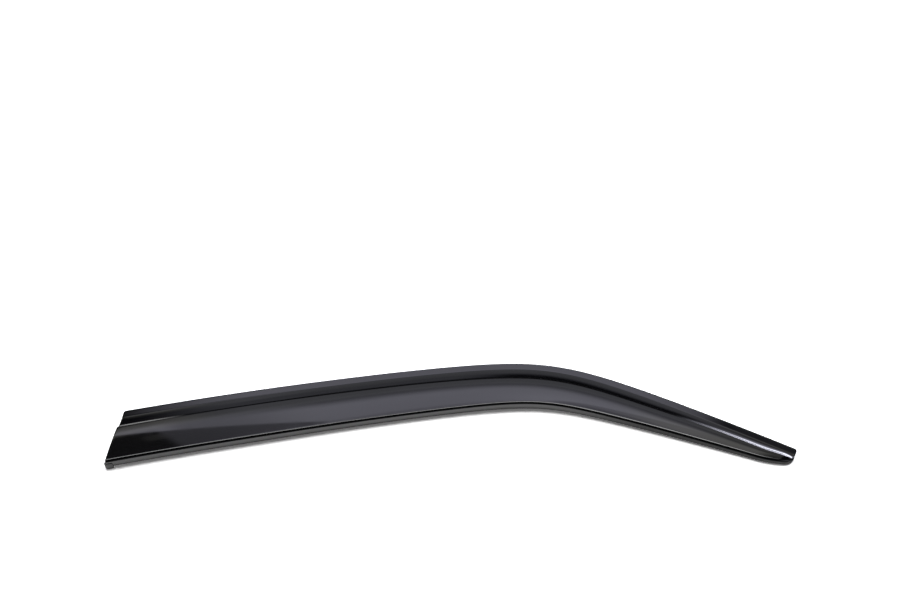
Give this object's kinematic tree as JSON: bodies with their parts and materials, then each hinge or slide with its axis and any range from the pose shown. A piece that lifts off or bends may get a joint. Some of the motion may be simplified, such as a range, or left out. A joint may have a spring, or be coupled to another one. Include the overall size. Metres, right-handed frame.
{
  "type": "window rain deflector",
  "caption": "Smoke-tinted stick-on rain deflector for a front side window, bent to follow roof and pillar, with foam tape under its flange.",
  "frame": {"origin": "on the liner's face that goes to the car, in the middle of the tape's width, half way along the mounting edge", "axes": "+X forward along the window to the pillar tip, +Y across the window to the roof edge, +Z outward from the car; it lies outer face up on z = 0"},
  "size_m": [0.8826, 0.1721, 0.0179],
  "materials": {
    "smoke_acrylic": "polished smoke-tinted acrylic",
    "foam_tape": "matte closed-cell foam tape",
    "release_liner": "satin plastic film"
  },
  "bodies": {
    "root": {"deflector_shell": "smoke_acrylic", "tape_roof": "foam_tape", "tape_pillar": "foam_tape", "liner_roof": "release_liner", "liner_pillar": "release_liner"}
  },
  "joints": []
}
